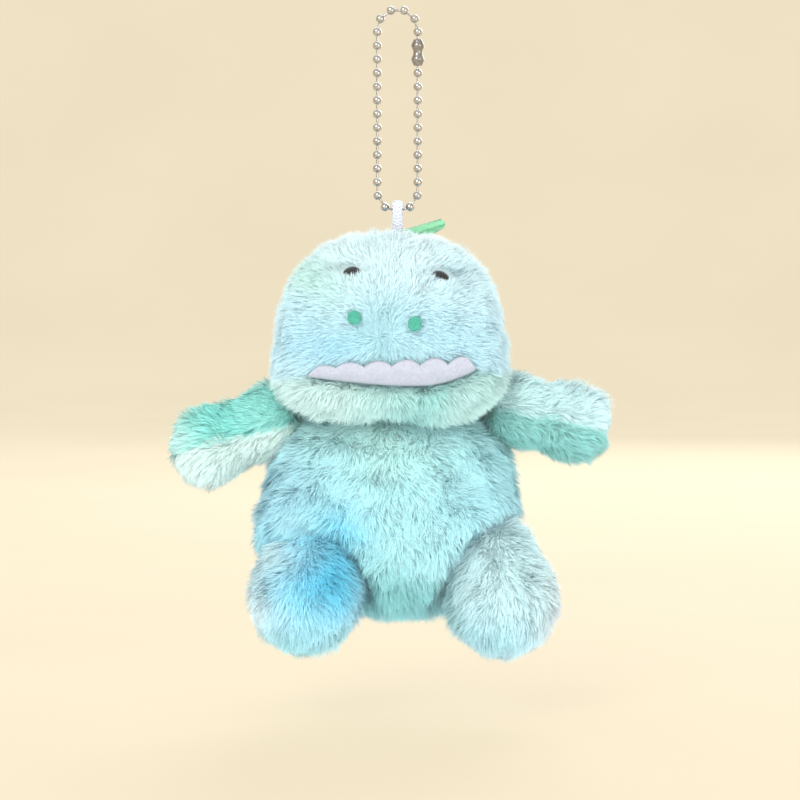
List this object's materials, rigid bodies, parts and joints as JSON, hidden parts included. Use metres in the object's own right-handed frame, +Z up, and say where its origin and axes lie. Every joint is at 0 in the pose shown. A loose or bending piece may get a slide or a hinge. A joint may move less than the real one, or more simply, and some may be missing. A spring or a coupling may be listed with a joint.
{
  "type": "plush keychain",
  "caption": "Plush dinosaur keychain: a furry stuffed toy with felt teeth and spikes, hung by a braided cord loop from a steel ball chain with a snap connector.",
  "frame": {"origin": "hang point: the top of the peg that the ball chain hangs on, under the top of the chain", "axes": "+Z up, the toy faces -Y, +X to its viewer's right"},
  "size_m": [0.1111, 0.0634, 0.1609],
  "materials": {
    "ball_chain": "polished",
    "connector": "gloss",
    "cord": "matte",
    "head_plush": "matte",
    "chin_plush": "matte",
    "body_plush": "matte",
    "arm_plush": "matte",
    "leg_plush": "matte",
    "filling": "matte",
    "eye": "gloss",
    "washer": "satin",
    "thread": "satin",
    "white_felt": "matte",
    "green_felt": "matte"
  },
  "bodies": {
    "chain_top": {"bead_29": "ball_chain"},
    "chain_upper_left": {"bead_27": "ball_chain", "bead_28": "ball_chain"},
    "chain_upper_right": {"bead_30": "ball_chain", "bead_31": "ball_chain"},
    "chain_left": {"bead_15": "ball_chain", "bead_16": "ball_chain", "bead_17": "ball_chain", "bead_18": "ball_chain", "bead_19": "ball_chain", "bead_20": "ball_chain", "bead_21": "ball_chain", "bead_22": "ball_chain", "bead_23": "ball_chain", "bead_24": "ball_chain", "bead_25": "ball_chain", "bead_26": "ball_chain"},
    "chain_right": {"bead_32": "ball_chain", "bead_33": "ball_chain", "bead_01": "ball_chain", "bead_02": "ball_chain", "bead_03": "ball_chain", "bead_04": "ball_chain", "bead_05": "ball_chain", "bead_06": "ball_chain", "bead_07": "ball_chain", "bead_08": "ball_chain", "bead_09": "ball_chain", "bead_10": "ball_chain"},
    "connector": {"chain_connector": "connector"},
    "chain_bottom": {"bead_11": "ball_chain", "bead_12": "ball_chain", "bead_13": "ball_chain", "bead_14": "ball_chain"},
    "cord": {"cord_loop": "cord"},
    "head": {"head_cover": "head_plush", "chin_cover": "chin_plush", "head_filling": "filling", "teeth_strip": "white_felt", "eye_left": "eye", "eye_right": "eye", "eye_washer_left": "washer", "eye_washer_right": "washer", "nostril_left": "thread", "nostril_right": "thread"},
    "torso": {"torso_cover": "body_plush", "torso_filling": "filling"},
    "arm_left": {"arm_cover_left": "arm_plush", "arm_filling_left": "filling"},
    "arm_right": {"arm_cover_right": "arm_plush", "arm_filling_right": "filling"},
    "leg_left": {"leg_cover_left": "leg_plush", "leg_filling_left": "filling"},
    "leg_right": {"leg_cover_right": "leg_plush", "leg_filling_right": "filling"},
    "tail": {"tail_cover": "body_plush", "tail_filling": "filling"},
    "spike_1": {"spike_1": "green_felt"},
    "spike_2": {"spike_2": "green_felt"},
    "spike_3": {"spike_3": "green_felt"}
  },
  "joints": [
    {"name": "chain_swing", "type": "hinge", "parent": "chain_top", "child": "chain_upper_left", "pos_m": [0, 0, 0.00082], "axis": [1, 0, 0], "range_deg": [-25, 25]},
    {"name": "chain_swing_right", "type": "hinge", "parent": "chain_top", "child": "chain_upper_right", "pos_m": [0, 0, 0.00082], "axis": [1, 0, 0], "range_deg": [-25, 25]},
    {"name": "chain_sway", "type": "hinge", "parent": "chain_upper_left", "child": "chain_left", "pos_m": [-0.005, 0, -0.00442], "axis": [0, 1, 0], "range_deg": [-15, 15]},
    {"name": "chain_sway_right", "type": "hinge", "parent": "chain_upper_right", "child": "chain_right", "pos_m": [0.005, 0, -0.00442], "axis": [0, 1, 0], "range_deg": [-15, 15]},
    {"name": "chain_level", "type": "hinge", "parent": "chain_left", "child": "chain_bottom", "pos_m": [-0.00487, 0, -0.04461], "axis": [0, 1, 0], "range_deg": [-15, 15]},
    {"name": "connector_release", "type": "slide", "parent": "chain_right", "child": "connector", "axis": [0, -1, 0], "range_m": [0, 0.0036]},
    {"name": "cord_swing", "type": "hinge", "parent": "chain_bottom", "child": "cord", "pos_m": [0, 0, -0.04847], "axis": [1, 0, 0], "range_deg": [-50, 50]},
    {"name": "cord_twist", "type": "hinge", "parent": "cord", "child": "head", "pos_m": [0, 0, -0.05207], "axis": [0, 0, 1], "range_deg": [-45, 45], "stiffness_Nm_per_rad": 0.0003},
    {"name": "neck_bend", "type": "hinge", "parent": "head", "child": "torso", "pos_m": [-0.0018, 0.0025, -0.09407], "axis": [1, 0, 0], "range_deg": [-6, 6], "stiffness_Nm_per_rad": 0.02},
    {"name": "shoulder_left", "type": "hinge", "parent": "torso", "child": "arm_left", "pos_m": [-0.0282, 0.001, -0.09907], "axis": [0, 1, 0], "range_deg": [-12, 12], "stiffness_Nm_per_rad": 0.02},
    {"name": "shoulder_right", "type": "hinge", "parent": "torso", "child": "arm_right", "pos_m": [0.0262, 0.001, -0.09707], "axis": [0, 1, 0], "range_deg": [-12, 12], "stiffness_Nm_per_rad": 0.02},
    {"name": "hip_left", "type": "hinge", "parent": "torso", "child": "leg_left", "pos_m": [-0.0213, -0.0055, -0.13857], "axis": [1, 0, 0], "range_deg": [-12, 12], "stiffness_Nm_per_rad": 0.02},
    {"name": "hip_right", "type": "hinge", "parent": "torso", "child": "leg_right", "pos_m": [0.0242, -0.0055, -0.13907], "axis": [1, 0, 0], "range_deg": [-12, 12], "stiffness_Nm_per_rad": 0.02},
    {"name": "tail_wag", "type": "hinge", "parent": "torso", "child": "tail", "pos_m": [-0.0018, 0.02, -0.13807], "axis": [0, 0, 1], "range_deg": [-15, 15], "stiffness_Nm_per_rad": 0.005},
    {"name": "spike_flex_1", "type": "hinge", "parent": "head", "child": "spike_1", "pos_m": [-0.0018, 0.00887, -0.05405], "axis": [0, 0.8829, -0.4695], "range_deg": [-45, 6], "stiffness_Nm_per_rad": 0.0005},
    {"name": "spike_flex_2", "type": "hinge", "parent": "head", "child": "spike_2", "pos_m": [-0.0018, 0.01615, -0.06304], "axis": [0, 0.5878, -0.809], "range_deg": [-25, 25], "stiffness_Nm_per_rad": 0.0005},
    {"name": "spike_flex_3", "type": "hinge", "parent": "head", "child": "spike_3", "pos_m": [-0.0018, 0.01895, -0.07336], "axis": [0, 0.1736, -0.9848], "range_deg": [-25, 25], "stiffness_Nm_per_rad": 0.0005}
  ],
  "couplings": [
    {"joint": "chain_swing_right", "follows": "chain_swing", "ratio": 1},
    {"joint": "chain_sway_right", "follows": "chain_sway", "ratio": 1},
    {"joint": "chain_level", "follows": "chain_sway", "ratio": -1}
  ]
}
